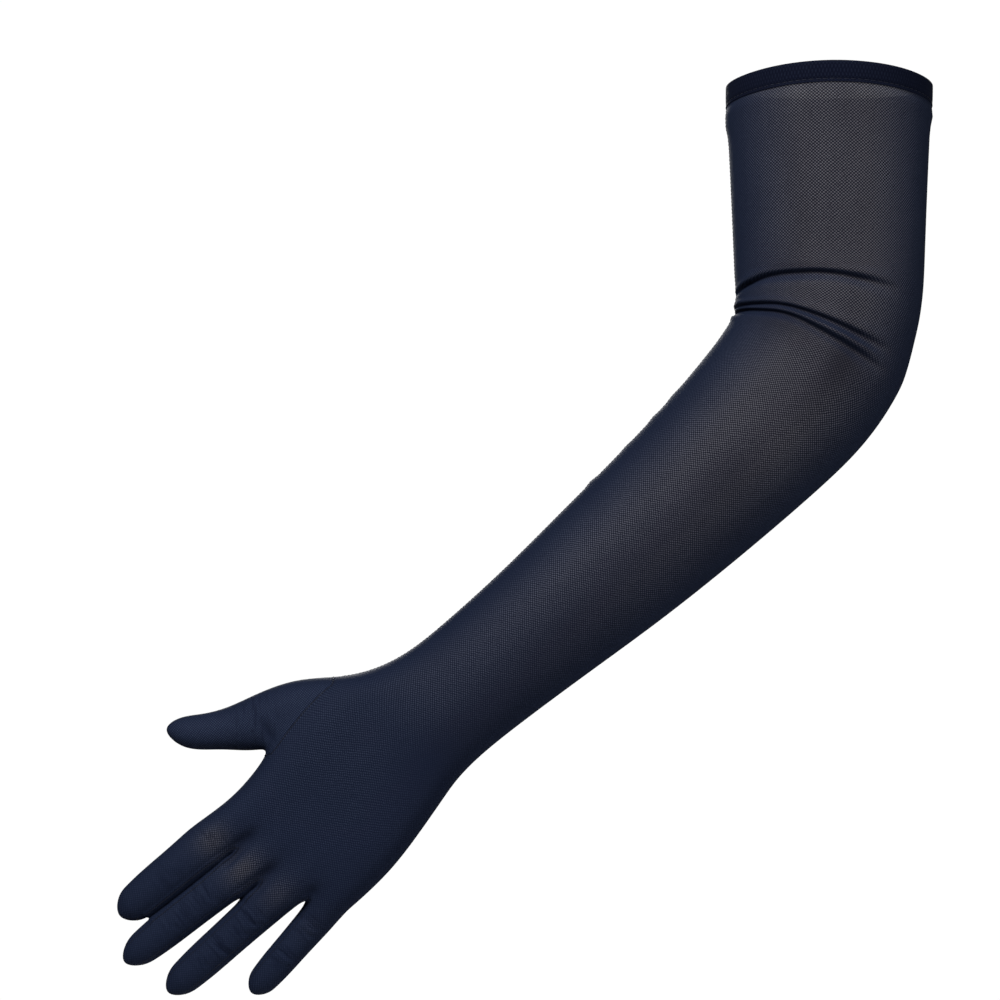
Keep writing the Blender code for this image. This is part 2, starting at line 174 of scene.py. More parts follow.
def centre_at(step):
    """The middle line, summed up from the headings."""
    fine = np.linspace(0.0, 3.2, 1601)
    ways, _ = course(heading_at(fine))
    lengths = np.diff(station(fine) + np.maximum(fine - 3.0, 0.0) * PALM_LENGTH)
    line = np.cumsum((ways[1:] + ways[:-1]) / 2 * lengths[:, None], axis=0)
    line = np.vstack([np.zeros(3), line])
    return read_off(step, fine, line)


HAND_WAY, HAND_SIDE = course(heading_at(3.0))


def section_at(step, name):
    """Width, depth or shift of the section in metres, or its share of a flat hand."""
    index = ("wide", "deep", "shift", "hand").index(name) + 1
    share = np.interp(step, SECTIONS[:, 0], SECTIONS[:, index])
    if name == "hand":
        return share
    return share * np.interp(step, range(4), DEPTHS if name == "deep" else WIDTHS)


def sleeve_ring(step):
    """Twenty cage points round the sleeve or palm. At the knuckles each has its own step."""
    angle = np.radians(18.0 * np.arange(20))
    hand = HAND_COLUMNS
    at_roots = step >= 3.0
    thick = hand[:, 2] if at_roots else hand[:, 1]
    late = np.concatenate([[hand[0, 3]], hand[:, 3], [hand[-1, 3]], hand[::-1, 3]])
    steps = step + late * at_roots
    flat_across = np.concatenate([[1.0], hand[:, 0], [-1.0], hand[::-1, 0]])
    flat_front = np.concatenate([[0.0], thick, [0.0], -thick[::-1]])
    hand_share = section_at(steps, "hand")
    across = (1 - hand_share) * np.cos(angle) * swell(20) + hand_share * flat_across
    front = (1 - hand_share) * np.sin(angle) * swell(20) + hand_share * flat_front
    _, side = course(heading_at(steps))
    sideways = across * section_at(steps, "wide") / 2 + section_at(steps, "shift")
    points = centre_at(steps) + side * sideways[:, None]
    points[:, 1] -= front * section_at(steps, "deep") / 2
    fade = np.clip(1 - steps / 0.6, 0, 1)
    back = points[:, 1]
    lean = OPENING_ARCH * back ** 2 / (DEPTHS[0] / 2) - (1 - OPENING_ARCH) * back
    points[:, 2] += lean * math.tan(math.radians(OPENING_TILT)) * fade
    return points, station(steps), angle


def root_at(column):
    """The middle of the hand at this column of the knuckles."""
    across, _, _, late = HAND_COLUMNS[column]
    step = 3.0 + late
    _, side = course(heading_at(step))
    sideways = across * section_at(step, "wide") / 2 + section_at(step, "shift")
    return centre_at(step) + side * sideways


def finger_start(number):
    return root_at(2 * number + 1)


def finger_ring(centre, side, half_wide, half_deep, strip):
    """Eight cage points round a finger: the thumb side first, then over the front."""
    angles = np.radians([0, strip, 90, 180 - strip, 180, 180 + strip, 270, 360 - strip])
    points = centre + side * (np.cos(angles) * half_wide * swell(8))[:, None]
    points[:, 1] -= np.sin(angles) * half_deep * swell(8)
    return points


# %% Points and faces of the cage
PIECES = (
    "glove_body", "thumb",
    "fourchette_index_middle", "fourchette_middle_ring", "fourchette_ring_little",
)
BODY, THUMB = 0, 1


class Cage:
    """Points with their place on the sleeve, and faces with their piece and their zone."""

    def __init__(self):
        self.points, self.faces, self.tags = [], [], []

    def add(self, points, along, angle):
        first, blank = len(self.points), np.zeros(len(points))
        turned = np.cos(angle + blank), np.sin(angle + blank)
        self.points += np.column_stack([points, along + blank, *turned]).tolist()
        return list(range(first, len(self.points)))

    def face(self, corners, piece, zone):
        self.faces.append(corners)
        self.tags.append((piece, zone))

    def tube(self, near, far, piece_of, zone):
        for here in range(len(near)):
            beside = (here + 1) % len(near)
            if piece_of(here) is not None:
                corners = [near[here], far[here], far[beside], near[beside]]
                self.face(corners, piece_of(here), zone)

    def cap(self, ring, tip, piece, zone):
        for corner in (1, 3, 5, 7):
            beside = ring[(corner + 1) % 8]
            self.face([beside, ring[corner], ring[corner - 1], tip], piece, zone)


# %% Fingers on the cage
def add_fingers(cage, knuckles):
    """Four fingers on the knuckle ring, with a web point between each two."""
    front, back = knuckles[1:10], knuckles[19:10:-1]
    webs = [knuckles[0]]
    for crotch, reach in zip((2, 4, 6), WEBS):
        two = np.array([cage.points[front[crotch]], cage.points[back[crotch]]])
        web = two[:, :3].mean(axis=0) + HAND_WAY * reach * KNUCKLE_WIDTH
        webs += cage.add([web], two[:, 3].mean() + reach * KNUCKLE_WIDTH, 0.0)
    webs.append(knuckles[10])
    far = station(3.0)
    for number, (length, wide, spread, curl) in enumerate(FINGERS):
        own = slice(2 * number, 2 * number + 3)
        ring = [webs[number], *front[own], webs[number + 1], *back[own][::-1]]
        way, side = course(heading_at(3.0) + spread)
        start = finger_start(number)

        def piece_of(here, number=number):
            if here in (7, 0) and number > 0:
                return THUMB + number
            if here in (3, 4) and number < 3:
                return THUMB + number + 1
            return BODY

        for along, share, strip in FINGER_RINGS:
            centre = start + way * along * length
            centre[1] += curl * length * along ** 2
            half_wide = share * wide * KNUCKLE_WIDTH / 2
            points = finger_ring(centre, side, half_wide, half_wide * FINGER_DEEP, strip)
            following = cage.add(points, far + along * length, 0.0)
            cage.tube(ring, following, piece_of, number + 1)
            ring = following
        centre = start + way * FINGER_TIP_SHARE * length
        centre[1] += curl * length
        tip = cage.add([centre], far + length, 0.0)[0]
        cage.cap(ring, tip, BODY, number + 1)


# %% The thumb on the cage
def thumb_place():
    """Where the thumb leaves the palm, and its heading."""
    step = sum(THUMB_STEPS) / 2
    _, side = course(heading_at(step))
    start = centre_at(step) + side * (section_at(step, "wide") / 2 + section_at(step, "shift"))
    return start, heading_at(step) + THUMB_SPREAD, station(step)


def add_thumb(cage, rows):
    """The thumb, on the opening left between three palm rings."""
    first, middle, last = rows
    ring = [first[0], first[1], middle[1], last[1], last[0], last[19], middle[19], first[19]]
    start, heading, far = thumb_place()
    way, rise_way = course(heading)
    for along, rise, wide, deep, palmward, facing in THUMB_RINGS:
        centre = start + (way * along + rise_way * rise) * THUMB_LENGTH
        centre[1] += palmward * THUMB_LENGTH
        _, ring_side = course(heading + facing)
        halves = wide * THUMB_WIDTH / 2, deep * THUMB_DEPTH / 2
        following = cage.add(
            finger_ring(centre, ring_side, *halves, 45.0), far + along * THUMB_LENGTH, 0.0
        )
        cage.tube(ring, following, lambda here: THUMB, THUMB_ZONE)
        ring = following
    centre = start + way * THUMB_TIP_SHARE * THUMB_LENGTH
    centre[1] += THUMB_RINGS[-1][4] * THUMB_LENGTH
    tip = cage.add([centre], far + THUMB_LENGTH, 0.0)[0]
    cage.cap(ring, tip, THUMB, THUMB_ZONE)


# %% Build the cage
def glove_cage():
    cage, rings, previous = Cage(), {}, None
    for step in (HEM_HEIGHT / UPPER_ARM_LENGTH, *RINGS):
        ring = cage.add(*sleeve_ring(step))
        if previous is not None:
            hole = (0, 19) if THUMB_STEPS[0] < step <= THUMB_STEPS[1] else ()
            cage.tube(previous, ring, lambda here: None if here in hole else BODY, SLEEVE)
        rings[step] = previous = ring
    add_fingers(cage, previous)
    add_thumb(cage, [rings[s] for s in RINGS if THUMB_STEPS[0] <= s <= THUMB_STEPS[1]])
    used, faces = np.unique(cage.faces, return_inverse=True)
    return np.array(cage.points)[used], faces.reshape(-1, 4), np.array(cage.tags)


CAGE_POINTS, CAGE_FACES, CAGE_TAGS = glove_cage()
print(f"cage: {len(CAGE_POINTS)} points, {len(CAGE_FACES)} faces")

# %% [markdown]
# ## From cage to skin
#
# Blender's Subdivision Surface modifier would round the cage off, but the script has to know which
# piece each face belongs to, and where on the sleeve each point lies. So the same rule is written
# out with numpy. Smoothing pulls a cage inwards a little, so it is first pushed out until its
# smooth skin passes through the surface of the solids.

# %% Subdivide the cage
LEVELS = 3


def sides_of(faces):
    """The ends of every side, the edges without repeats, and which edge each side is."""
    sides = np.stack([faces, np.roll(faces, -1, axis=1)], axis=2).reshape(-1, 2)
    edges, edge_of = np.unique(np.sort(sides, axis=1), axis=0, return_inverse=True)
    return sides, edges, edge_of.reshape(-1)


def subdivide(points, faces, tags):
    """One level of smooth subdivision: each face becomes four, and open edges keep their line."""
    face_points = points[faces].mean(axis=1)
    _, edges, edge_of = sides_of(faces)
    open_edge = np.bincount(edge_of, minlength=len(edges)) == 1
    middles = points[edges].mean(axis=1)
    beside = np.zeros_like(middles)
    np.add.at(beside, edge_of, np.repeat(face_points, 4, axis=0))
    edge_points = np.where(open_edge[:, None], middles, middles / 2 + beside / 4)

    count = len(points)
    valence = np.bincount(edges.reshape(-1), minlength=count).astype(float)[:, None]
    from_faces, from_edges = np.zeros_like(points), np.zeros_like(points)
    np.add.at(from_faces, faces.reshape(-1), np.repeat(face_points, 4, axis=0))
    np.add.at(from_edges, edges.reshape(-1), np.repeat(middles, 2, axis=0))
    inner = (from_faces / valence + 2 * from_edges / valence + (valence - 3) * points) / valence
    open_ends = edges[open_edge].reshape(-1)
    open_middles = np.zeros_like(points)
    np.add.at(open_middles, open_ends, np.repeat(middles[open_edge], 2, axis=0))
    on_border = np.bincount(open_ends, minlength=count)[:, None] > 0
    vertex_points = np.where(on_border, points / 2 + open_middles / 4, inner)

    edge_ids = (count + edge_of).reshape(-1, 4)
    face_ids = count + len(edges) + np.arange(len(faces))
    finer = [
        np.stack([faces[:, k], edge_ids[:, k], face_ids, edge_ids[:, k - 1]], axis=1)
        for k in range(4)
    ]
    finer = np.stack(finer, axis=1).reshape(-1, 4)
    return np.vstack([vertex_points, edge_points, face_points]), finer, np.repeat(tags, 4, axis=0)


def subdivide_often(points, times):
    faces, tags = CAGE_FACES, CAGE_TAGS
    for _ in range(times):
        points, faces, tags = subdivide(points, faces, tags)
    return points, faces, tags


solid_points = subdivide_often(CAGE_POINTS, 1)[0][:len(CAGE_POINTS), :3]
pushed = CAGE_POINTS.copy()
for _ in range(3):
    smooth = subdivide_often(pushed, LEVELS)[0][:len(CAGE_POINTS), :3]
    pushed[:, :3] += solid_points - smooth
POINTS, FACES, TAGS = subdivide_often(pushed, LEVELS)
out_by = np.abs(pushed - CAGE_POINTS)[:, :3].max()
print(f"skin: {len(FACES)} faces, pushed out by up to {out_by * 1000:.2f} mm")


# %% Helpers for the skin
def normals_of(points, faces):
    """Outward direction at each point."""
    corners = [points[faces[:, k], :3] for k in range(4)]
    of_faces = np.cross(corners[2] - corners[0], corners[3] - corners[1])
    total = np.zeros((len(points), 3))
    np.add.at(total, faces.reshape(-1), np.repeat(of_faces, 4, axis=0))
    return total / np.linalg.norm(total, axis=1)[:, None]


def bell(distance, width):
    """1 at no distance, fading smoothly to 0 past the width."""
    return np.exp(-(distance / width) ** 2)


def place_on_finger(points, number):
    """Share of the finger's length, and place across it from -1 to 1, for every point."""
    length, wide, spread, _ = FINGERS[number]
    way, side = course(heading_at(3.0) + spread)
    away = points[:, :3] - finger_start(number)
    return away @ way / length, away @ side / (wide * KNUCKLE_WIDTH / 2)


def place_on_thumb(points):
    start, heading, _ = thumb_place()
    way, rise_way = course(heading)
    away = points[:, :3] - start
    return away @ way / THUMB_LENGTH, away @ rise_way / (THUMB_WIDTH / 2)


FAR, ANGLE = POINTS[:, 3], np.degrees(np.arctan2(POINTS[:, 5], POINTS[:, 4]))
ZONE = np.zeros(len(POINTS), int)
ZONE[FACES.reshape(-1)] = np.repeat(TAGS[:, 1], 4)

# %% [markdown]
# ## Tucks at the elbow, wrinkles on the fingers
#
# A tight sleeve that bends gathers its spare length on the inside of the bend. Three deep tucks
# start at the inner edge and fan out over the front, with a soft dip above the first and a rolled
# ridge between the other two. Across the fingers the mesh lies in short wrinkles. A cloth
# simulation would find its own folds, and they wouldn't be these ones, so each fold is a row of a
# table that pushes the skin in or out.

# %% Tucks at the elbow
FOLD_DEPTH, FOLD_WIDTH = 0.0026, 0.0021
FOLDS_END = 1.3  # no tuck reaches past this step
FOLDS = (
    # deep, wide, then the line as pairs of angle and step
    (1.0, 0.9, ((-6, 0.850), (6, 0.817), (32, 0.737), (49, 0.716), (84, 0.708), (112, 0.738),
                (134, 0.764))),
    (0.3, 1.5, ((25, 0.702), (60, 0.686), (105, 0.690))),
    (0.9, 0.9, ((-15, 0.960), (12, 0.915), (55, 0.861), (83, 0.884), (115, 0.917),
                (138, 0.930))),
    (-0.6, 0.9, ((45, 0.872), (72, 0.892), (103, 0.930), (128, 0.955))),
    (1.0, 0.9, ((-20, 0.985), (14, 0.945), (60, 0.897), (86, 0.934), (118, 0.970),
                (138, 0.990))),
)
push = np.zeros(len(POINTS))
doubled_and_shaded = np.zeros(len(POINTS))  # where cloth lies on cloth in a tuck, and painted shade in tucks, wrinkles, valleys and the thumb's dimple
for deep, wide, places in FOLDS:
    angles, steps = np.array(places).T
    # Averaged over a few degrees, the line bends smoothly.
    around = [np.interp(ANGLE + turn, angles, steps) for turn in (-12, -8, -4, 0, 4, 8, 12)]
    line = station(np.mean(around, axis=0))
    ends = np.clip((ANGLE - angles[0]) / 32, 0, 1) * np.clip((angles[-1] - ANGLE) / 28, 0, 1)
    ends *= FAR < station(FOLDS_END)
    # The upper cloth rolls over the lower one: a roll, a steep drop to the line, a long slope.
    below = FAR - line
    tuck = bell(below, np.where(below < 0, 0.55, 1.60) * wide * FOLD_WIDTH) * ends
    roll = bell(below + 1.5 * wide * FOLD_WIDTH, 1.1 * wide * FOLD_WIDTH) * ends
    push += deep * FOLD_DEPTH * (0.30 * roll * (deep > 0) - tuck)
    # Along the line of each tuck, where cloth lies on cloth, the mesh is also painted darker:
    # painted shade under the roll.
    dark = bell(below + 0.0003, 0.50 * wide * FOLD_WIDTH) * ends
    doubled_and_shaded = np.maximum(doubled_and_shaded, np.clip(deep, 0, 1) * dark)
print(f"tucks reach {-push.min() * 1000:.1f} mm in")

# %% Wrinkles across the fingers
WRINKLE_DEPTH = 0.0011
WRINKLES = (
    # finger, along, slant, reach across, share of the depth, width
    (0, 0.1, 0.1, 1, 0.2, 0.03), (0, 0.52, 0.05, 0.9, 0.2, 0.022),
    (0, 0.6, -0.04, 0.9, 0.2, 0.02),
    (1, 0.33, 0, 1, 0.5, 0.016), (1, 0.43, -0.03, 1, 0.4, 0.016),
    (1, 0.54, -0.04, 0.9, 0.5, 0.015), (1, 0.62, 0.02, 0.9, 0.3, 0.015),
    (2, 0.22, 0.04, 1, 0.4, 0.016), (2, 0.29, 0.04, 1, 0.6, 0.016),
    (2, 0.38, 0.03, 1, 0.5, 0.015), (2, 0.55, 0.02, 1, 0.6, 0.016),
    (2, 0.69, 0.03, 0.9, 0.4, 0.015),
    (3, 0.23, 0.03, 1, 0.5, 0.02), (3, 0.33, 0.06, 1, 0.4, 0.02),
    (3, 0.57, 0.04, 1, 0.5, 0.02), (3, 0.66, 0.05, 0.9, 0.3, 0.02),
)
creased = np.zeros(len(POINTS))  # where fine creases run across the cloth
for finger, along, slant, reach, depth, width in WRINKLES:
    far_share, across = place_on_finger(POINTS, finger)
    wave = 0.012 * np.sin(across * 4.1 + finger)
    line = along + slant * across + wave
    crease = bell(far_share - line, width) - 0.3 * bell(far_share - line - 2 * width, width)
    # The wrinkles flatten out towards the finger's two edges.
    own = np.clip(1 - (across / reach) ** 2, 0, 1) * (ZONE == finger + 1)
    push -= WRINKLE_DEPTH * depth * crease * own
    # Painted shade in each wrinkle, and a wider band where the material paints fine crease lines.
    doubled_and_shaded = np.maximum(doubled_and_shaded, 1.1 * depth * bell(far_share - line, 0.7 * width) * own)
    creased = np.maximum(creased, 1.6 * depth * bell(far_share - line, 3.5 * width) * own)
on_thumb = ZONE == THUMB_ZONE
far_share, across = place_on_thumb(POINTS)
dimple = bell(far_share - 0.30 - 0.07 * across, 0.035) * bell(across + 0.7, 0.7) * on_thumb
push -= WRINKLE_DEPTH * dimple
# Painted shade in the dimple at the thumb's root, and painted crease lines round it.
doubled_and_shaded = np.maximum(doubled_and_shaded, 0.9 * dimple)
creased = np.maximum(creased, 0.5 * bell(far_share - 0.34, 0.16) * on_thumb)
print(f"{len(WRINKLES)} wrinkles on the fingers, one at the thumb")

# %% Bulges along the side seams
BULGE_REACH = 16.0  # degrees round the sleeve
BULGES = (
    # angle, station, out, wide
    (0, 0.0165, 0.0011, 0.0055), (180, 0.014, 0.001, 0.004),
    (2, 0.1205, 0.0006, 0.003),
    (0, 0.18, 0.0007, 0.0018), (0, 0.193, 0.0007, 0.0016),
    (0, 0.214, 0.0006, 0.0018), (0, 0.235, 0.0006, 0.0016),
)
for angle, where, out, wide in BULGES:
    turned = np.abs((ANGLE - angle + 180) % 360 - 180)
    push += out * bell(FAR - where, wide) * bell(turned, BULGE_REACH) * (ZONE == SLEEVE)
print(f"{len(BULGES)} bulges")

# %% Valleys between the fingers
CROTCHES = (
    # column, depth of the valley, squeeze of the strip, how far above the root it starts
    (2, 0.0019, 0.0013, 0.0065), (4, 0.0018, 0.0016, 0.0050), (6, 0.0011, 0.0009, 0.0030),
)
VALLEY_WIDE, PAINTED_SHADE_WIDE = 0.0028, 0.0017


def points_of(piece):
    """A mark on every point of this sewn piece."""
    marked = np.zeros(len(POINTS), bool)
    marked[FACES[TAGS[:, 0] == piece].reshape(-1)] = True
    return marked


skin_normals = normals_of(POINTS, FACES)
for number, (column, depth, squeeze, above) in enumerate(CROTCHES):
    away = POINTS[:, :3] - root_at(column)
    along, across = away @ HAND_WAY, away @ HAND_SIDE
    strip = points_of(THUMB + 1 + number)
    reach = WEBS[number] * KNUCKLE_WIDTH
    here = ~on_thumb * np.clip((reach + 0.002 - along) / 0.004, 0, 1)
    valley = bell(across, VALLEY_WIDE) * bell(np.minimum(along + above - 0.002, 0.0), 0.005) * here
    push -= depth * valley * ~strip
    # Painted shade along the bottom of each valley between two fingers.
    dark = bell(across, PAINTED_SHADE_WIDE) * bell(np.minimum(along + above, 0.0), 0.0025) * here
    doubled_and_shaded = np.maximum(doubled_and_shaded, 1.1 * dark)
    # The strip between two fingers is squeezed shut next to its crotch.
    facing_across = np.abs(skin_normals @ HAND_SIDE)
    push += squeeze * strip * facing_across * bell(along - reach + 0.0012, 0.0040)
print(f"{len(CROTCHES)} valleys, up to {max(row[1] for row in CROTCHES) * 1000:.1f} mm deep")

# %% Shape the skin
# The first two fingers lie against each other, so the strip between them comes out a little.
STRIP_OUT = 0.0008
first_share, _ = place_on_finger(POINTS, 0)
beyond_root = np.clip((first_share - 0.15) / 0.1, 0, 1) * (first_share < 0.86)
push += STRIP_OUT * points_of(THUMB + 1) * beyond_root

POINTS[:, :3] += normals_of(POINTS, FACES) * push[:, None]
NORMALS = normals_of(POINTS, FACES)
print("skin spans", (np.ptp(POINTS[:, :3], axis=0) * 1000).round(1), "mm")

# %% [markdown]
# ## How open the mesh is
#
# Stretch mesh opens where it is drawn wide and stays dense where it is slack. Each point gets a
# number for how open the mesh is, near 1 in the upper sleeve and about a quarter on the hand, and
# another for how taut. The material reads the first for the light let through and for the painted
# light in the holes, and the second to take the blue out of yarn and holes. The first number also
# carries painted light and shade: patches lightened or darkened on the sleeve, and darker edges,
# tucks, wrinkles and valleys. Tucks are darker also because cloth lies on cloth there.

# %% Openness of the mesh
OPEN_STEPS = (0.0, 0.10, 0.60, 1.20, 1.60, 1.90, 2.20, 3.00, 4.00)
OPEN_SHARES = (0.68, 0.88, 0.95, 0.97, 0.92, 0.56, 0.36, 0.26, 0.18)
TAUT_SHARES = (0.80, 0.88, 0.90, 0.84, 0.55, 0.32, 0.10, 0.00, 0.00)
THUMB_OPENNESS = 0.54
FINGER_SPAN = 0.08  # from the knuckles, at step 3, to step 4
steps_down = np.interp(FAR, np.append(STATIONS, STATIONS[-1] + FINGER_SPAN), range(5))
openness_and_painted_light = np.interp(steps_down, OPEN_STEPS, OPEN_SHARES)
openness_and_painted_light[on_thumb] = THUMB_OPENNESS
taut = np.interp(steps_down, OPEN_STEPS, TAUT_SHARES)
taut[on_thumb] = 0.0
SPOT_LONG, SPOT_WIDE = 0.13, 0.75
STRETCHED_SPOTS = (
    # finger, along, more
    (0, 0.13, 0.75), (1, 0.07, 0.80), (2, 0.04, 0.42), (3, 0.26, 0.15),
)
# Patches where the openness, and with it the painted light in the holes, is raised or lowered:
# painted shade below the tucks, on the lower side of the forearm and at the wrist, and painted
# light on the upper arm's outer front.
SLEEVE_PAINTED_LIGHT_AND_SHADE = (
    # angle, step, wide in degrees, wide in steps, more
    (138, 0.4, 26, 0.45, 0.5), (98, 0.4, 14, 0.4, -0.16),
    (66, 0.52, 18, 0.4, -0.32), (150, 1.5, 34, 0.6, -0.3),
    (140, 2.7, 50, 0.45, -0.12), (28, 1.55, 22, 0.45, -0.5),
    (106, 1, 16, 0.09, -0.75), (70, 1.07, 16, 0.06, 0.12),
    (58, 0.93, 26, 0.1, -0.62), (102, 1.58, 26, 0.3, -0.52),
    (124, 2.1, 30, 0.35, -0.32), (96, 1.28, 18, 0.16, -0.3),
)
for angle, step, wide, tall, more in SLEEVE_PAINTED_LIGHT_AND_SHADE:
    openness_and_painted_light += more * bell(ANGLE - angle, wide) * bell(steps_down - step, tall) * (ZONE == SLEEVE)
for finger, along, more in STRETCHED_SPOTS:
    far_share, across = place_on_finger(POINTS, finger)
    spot = bell(far_share - along, SPOT_LONG) * bell(across, SPOT_WIDE)
    spot *= (NORMALS[:, 1] < 0) * ~on_thumb
    openness_and_painted_light += more * spot
    taut += 0.8 * more * spot * (1 - taut)
# The mesh is less open, and so painted darker, where cloth lies doubled and where painted shade
# falls.
openness_and_painted_light *= 1 - 0.80 * np.clip(doubled_and_shaded, 0, 1)
# Towards the sides of each tube, where the surface faces neither front nor back, the mesh is made
# less open and less taut: painted shade that darkens the edges and keeps them blue, along with the
# denser look of cloth seen edge-on.
EDGE_SHARE = 0.18
facing = np.abs(NORMALS[:, 1])
openness_and_painted_light *= EDGE_SHARE + (1 - EDGE_SHARE) * np.clip(facing / 0.91, 0, 1) ** 2
taut *= np.clip(facing / 0.95, 0, 1) ** 3
print(f"openness from {openness_and_painted_light.min():.2f} to {openness_and_painted_light.max():.2f}")

# %% Places of the stitches
WALES = 184  # columns of stitches round the opening
COURSE_HEIGHT = 0.00061  # a course is a row of stitches
FINGER_WALE, KNUCKLE_WALE = 0.00118, 0.0017
KNUCKLE_SHIFT = -2.4  # wales between the middle of the hand and the middle of the front


def flat_place(points, faces, number):
    """Stitch counts across and along for the faces of a finger or the thumb, laid flat."""
    if number == THUMB_ZONE:
        start, heading, _ = thumb_place()
        way, side = course(heading)
    else:
        start = finger_start(number - 1)
        way, side = course(heading_at(3.0) + FINGERS[number - 1][2])
    away = points[faces][..., :3] - start
    normal = np.abs(NORMALS[faces, 1]).mean(axis=1)[:, None]
    across = np.where(normal > 0.5, away @ side, away[..., 1])
    return np.stack([across / FINGER_WALE, away @ way / COURSE_HEIGHT], -1)


# Wales are counted from the middle of the front. Fewer go round where the sleeve is narrow.
turns_round = (np.arctan2(POINTS[FACES, 5], POINTS[FACES, 4]) / (2 * math.pi) + 0.25) % 1.0 - 0.5
turns_round += (turns_round < turns_round.max(axis=1, keepdims=True) - 0.5)
girths = section_at(steps_down, "wide") + section_at(steps_down, "deep")
girth = (girths / (WIDTHS[0] + DEPTHS[0]))[FACES]
STITCH_PLACES = np.stack([turns_round * WALES * girth, POINTS[FACES, 3] / COURSE_HEIGHT], -1)
# By the knuckles the angles crowd together between the fingers, so the rows there are laid flat.
away = POINTS[FACES][..., :3] - centre_at(3.0)
flat = np.stack([KNUCKLE_SHIFT - away @ HAND_SIDE / KNUCKLE_WALE,
                 (away @ HAND_WAY + STATIONS[-1]) / COURSE_HEIGHT], -1)
in_front = NORMALS[FACES, 1].mean(axis=1)[:, None] < -0.45
flat_share = np.clip((steps_down[FACES] - 2.5) / 0.4, 0, 1) * in_front
STITCH_PLACES += flat_share[..., None] * (flat - STITCH_PLACES)
for number in range(1, THUMB_ZONE + 1):
    own = TAGS[:, 1] == number
    STITCH_PLACES[own] = flat_place(POINTS, FACES[own], number)
print(f"{WALES} wales round the top, {STATIONS[-1] / COURSE_HEIGHT:.0f} courses to the knuckles")

# %% [markdown]
# ## The mesh cloth as a material
#
# Seen close, the cloth is a lattice of fine navy yarn with holes in every other place, like a
# honeycomb. A picture of it would have to be tiled and would blur. A formula does better: two
# cosines over the stitch counts give a bump wherever a hole is, and a threshold turns it into
# yarn or hole. The holes let some light through by Alpha. Most of what shows in a hole is painted
# light: a paler colour that stands in for the light coming through and back from the layers
# behind, because the filter that clears a picture of noise would wipe away a lattice that is only
# see-through.


# %% Small helpers for materials
def new_material(name):
    material = bpy.data.materials.new(name)
    material.use_nodes = True
    return material, material.node_tree, material.node_tree.nodes["Principled BSDF"]


def node(tree, kind, links=(), **values):
    """A node with its sockets set or linked. Links are (socket, source) pairs."""
    made = tree.nodes.new(kind)
    for key, value in values.items():
        setattr(made, key, value)
    for socket, source in links:
        if isinstance(source, bpy.types.NodeSocket):
            tree.links.new(source, made.inputs[socket])
        else:
            made.inputs[socket].default_value = source
    return made


def attribute(tree, name):
    return node(tree, "ShaderNodeAttribute", attribute_name=name).outputs["Fac"]


# %% Helpers for numbers and colours
def sums(tree, operation, one, two=0.0, three=0.0):
    links = [(0, one), (1, two), (2, three)][:3 if operation == "MULTIPLY_ADD" else 2]
    return node(tree, "ShaderNodeMath", links, operation=operation).outputs[0]


def times(tree, one, two):
    return sums(tree, "MULTIPLY", one, two)


def mapped(tree, value, low, high, to_low, to_high, smooth=True):
    made = node(
        tree, "ShaderNodeMapRange",
        [("Value", value), (1, low), (2, high), (3, to_low), (4, to_high)],
        interpolation_type="SMOOTHSTEP" if smooth else "LINEAR",
    )
    return made.outputs[0]


def noise(tree, scale, detail, vector=None):
    links = [("Scale", scale), ("Detail", detail)] + ([("Vector", vector)] if vector else [])
    return node(tree, "ShaderNodeTexNoise", links).outputs["Fac"]


def mixed(tree, share, one, two):
    one, two = ((*c, 1.0) if isinstance(c, tuple) else c for c in (one, two))
    links = [(0, share), (6, one), (7, two)]
    return node(tree, "ShaderNodeMix", links, data_type="RGBA").outputs[2]


def stretched_noise(tree, place, stretch, detail):
    drawn = node(tree, "ShaderNodeMapping", [("Vector", place), ("Scale", (*stretch, 1.0))])
    return noise(tree, 1.0, detail, drawn.outputs[0])


def raised(tree, shader, height, strength, distance):
    """Let light fall on the surface as if it had this relief."""
    relief = node(
        tree, "ShaderNodeBump", [("Height", height), ("Strength", strength), ("Distance", distance)]
    )
    tree.links.new(relief.outputs[0], shader.inputs["Normal"])


# %% The lattice of yarn and holes
def lattice_of(tree, place, spot):
    """From 1 in the middle of a hole to -1 on the yarn."""
    parts = node(tree, "ShaderNodeSeparateXYZ", [(0, place)]).outputs
    # The yarn wanders a little, so the rows aren't ruled lines.
    slack = noise(tree, 420.0, 2.0, spot)
    across = sums(tree, "ADD", parts[0], times(tree, slack, 0.65))
    along = sums(tree, "ADD", parts[1], times(tree, slack, 0.55))
    wave_across = sums(tree, "COSINE", times(tree, across, 2 * math.pi))
    wave_along = sums(tree, "COSINE", times(tree, along, math.pi))
    return times(tree, wave_across, wave_along)


def open_and_painted_light_of(tree, place, spot):
    """How open the cloth is, carrying the painted light and shade that ride on that number, with a
    little unevenness.
    """
    # Broad patches where the cloth lies tighter or slacker.
    patches = mapped(tree, noise(tree, 34.0, 3.0, spot), 0.30, 0.70, 0.86, 1.10)
    # Some wales are knitted a little tighter than others, which shows as faint streaks.
    streaks = stretched_noise(tree, place, (0.22, 0.008), 2.0)
    streaks = mapped(tree, streaks, 0.30, 0.70, 0.92, 1.08)
    return times(tree, attribute(tree, "openness_and_painted_light"), times(tree, patches, streaks))


def fine_creases(tree, place):
    """The narrow lines along which a stretched noise passes its middle value."""
    drift = sums(tree, "SUBTRACT", stretched_noise(tree, place, (0.05, 0.22), 2.5), 0.5)
    line = mapped(tree, sums(tree, "ABSOLUTE", drift), 0.0, 0.045, 1.0, 0.0)
    return times(tree, line, attribute(tree, "creased"))


